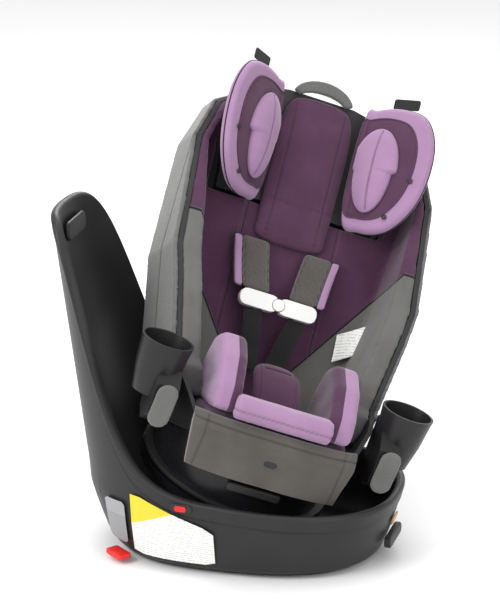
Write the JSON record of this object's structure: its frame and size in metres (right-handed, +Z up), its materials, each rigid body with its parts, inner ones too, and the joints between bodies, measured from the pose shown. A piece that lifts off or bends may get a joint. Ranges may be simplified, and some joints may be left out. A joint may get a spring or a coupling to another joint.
{
  "type": "rotating convertible car seat",
  "caption": "Child car seat on a turntable: boat-shaped base with a tall rear panel, reclining cradle, padded bucket with winged sliding headrest, harness and cup holders.",
  "frame": {"origin": "middle of the base's underside, on the surface the base rests on", "axes": "+X from the tall rear panel to the bow, +Z up, +Y to the left of someone looking along +X"},
  "size_m": [0.6621, 0.7086, 0.794],
  "materials": {
    "shell_black": "fine matt grain",
    "tub_black": "smooth satin",
    "dark_plastic": "fine matt grain",
    "foot_rubber": "matt",
    "plain_steel": "brushed",
    "signal_red": "smooth",
    "gauge_tan": "smooth",
    "label_white": "satin film",
    "label_grey": "satin film",
    "grey_fabric": "heathered knit",
    "warm_fabric": "plain weave",
    "light_purple": "textured knit",
    "dark_purple": "textured knit",
    "webbing": "woven webbing",
    "pad_grey": "ribbed weave",
    "clip_white": "smooth"
  },
  "bodies": {
    "base": {"base_hull": "shell_black", "rear_panel": "shell_black", "track_plate": "tub_black", "foot_pad_rear": "foot_rubber", "foot_pad_middle": "foot_rubber", "foot_pad_bow": "foot_rubber", "tether_clip_cover": "dark_plastic", "warning_plate": "label_white", "lock_window": "dark_plastic", "instruction_plate": "label_grey", "level_gauge": "gauge_tan"},
    "lock_flag": {"lock_indicator": "signal_red"},
    "lockoff": {"lockoff_tab": "signal_red"},
    "recline_pull": {"recline_handle": "dark_plastic"},
    "cradle": {"recline_cradle": "tub_black", "bearing_ring": "plain_steel"},
    "seat": {"turntable_disc": "shell_black", "seat_pedestal": "tub_black", "seat_shell": "dark_plastic", "back_cover": "dark_purple", "seat_cushion": "dark_purple", "side_cover_left": "grey_fabric", "side_cover_right": "grey_fabric", "insert_bolster_left": "light_purple", "insert_bolster_right": "light_purple", "insert_front_roll": "light_purple", "crotch_pad": "dark_purple", "front_apron": "warm_fabric", "lower_strap_left": "webbing", "lower_strap_right": "webbing", "chest_clip_left": "clip_white", "chest_clip_right": "clip_white", "crotch_buckle": "shell_black"},
    "turn_lever": {"rotation_lever": "dark_plastic"},
    "turn_pin": {"rotation_lock_pin": "plain_steel"},
    "strap_release": {"harness_release_button": "dark_plastic"},
    "buckle_press": {"buckle_button": "signal_red"},
    "clip_press": {"chest_clip_button": "clip_white"},
    "cup_left": {"cup_holder_left": "shell_black", "cup_inlay_left": "grey_fabric"},
    "cup_right": {"cup_holder_right": "shell_black", "cup_inlay_right": "grey_fabric"},
    "headrest": {"headrest_shell": "dark_plastic", "headrest_pad": "dark_purple", "headrest_wing_left": "light_purple", "headrest_wing_right": "light_purple", "head_pillow_left": "light_purple", "head_pillow_right": "light_purple", "wing_tab_left": "webbing", "wing_tab_right": "webbing", "shoulder_pad_left": "pad_grey", "shoulder_pad_right": "pad_grey"},
    "headrest_squeeze": {"headrest_handle": "label_grey"}
  },
  "joints": [
    {"name": "recline", "type": "hinge", "parent": "base", "child": "cradle", "pos_m": [0.064, 0, 0.3], "axis": [0, 1, 0], "range_deg": [-4, 1]},
    {"name": "seat_turn", "type": "hinge", "parent": "cradle", "child": "seat", "pos_m": [-0.00343, 0, 0.13311], "axis": [0.3746, 0, 0.9272], "continuous": true},
    {"name": "headrest_height", "type": "slide", "parent": "seat", "child": "headrest", "axis": [0.0814, 0.5708, 0.817], "range_m": [0, 0.12]},
    {"name": "headrest_handle_pull", "type": "slide", "parent": "headrest", "child": "headrest_squeeze", "axis": [0.0814, 0.5708, 0.817], "range_m": [0, 0.008], "stiffness_N_per_m": 600},
    {"name": "rotation_lever_pull", "type": "slide", "parent": "seat", "child": "turn_lever", "axis": [0.3473, -0.9272, -0.1403], "range_m": [0, 0.01], "stiffness_N_per_m": 600},
    {"name": "rotation_pin_lift", "type": "slide", "parent": "seat", "child": "turn_pin", "axis": [0.3746, 0, 0.9272], "range_m": [0, 0.012]},
    {"name": "lock_flag_slide", "type": "slide", "parent": "base", "child": "lock_flag", "axis": [1, 0, 0], "range_m": [0, 0.007]},
    {"name": "recline_handle_pull", "type": "slide", "parent": "base", "child": "recline_pull", "axis": [1, 0, 0], "range_m": [0, 0.012], "stiffness_N_per_m": 600},
    {"name": "lockoff_swing", "type": "hinge", "parent": "base", "child": "lockoff", "pos_m": [-0.158, -0.14931, 0.013], "axis": [-0.7776, 0.6287, 0], "range_deg": [0, 25]},
    {"name": "harness_release_press", "type": "slide", "parent": "seat", "child": "strap_release", "axis": [-0.4276, 0.8996, -0.0881], "range_m": [0, 0.005], "stiffness_N_per_m": 600},
    {"name": "buckle_press", "type": "slide", "parent": "seat", "child": "buckle_press", "axis": [-0.4636, 0.2865, -0.8384], "range_m": [0, 0.004], "stiffness_N_per_m": 600},
    {"name": "chest_clip_press", "type": "slide", "parent": "seat", "child": "clip_press", "axis": [-0.5043, 0.7306, -0.4603], "range_m": [0, 0.003], "stiffness_N_per_m": 600},
    {"name": "cup_lift_left", "type": "slide", "parent": "seat", "child": "cup_left", "axis": [0.3226, 0.129, 0.9377], "range_m": [0, 0.06]},
    {"name": "cup_lift_right", "type": "slide", "parent": "seat", "child": "cup_right", "axis": [0.3226, 0.129, 0.9377], "range_m": [0, 0.06]}
  ],
  "couplings": [
    {"joint": "rotation_pin_lift", "follows": "rotation_lever_pull", "ratio": 1.2},
    {"joint": "lock_flag_slide", "follows": "rotation_lever_pull", "ratio": 0.7}
  ]
}
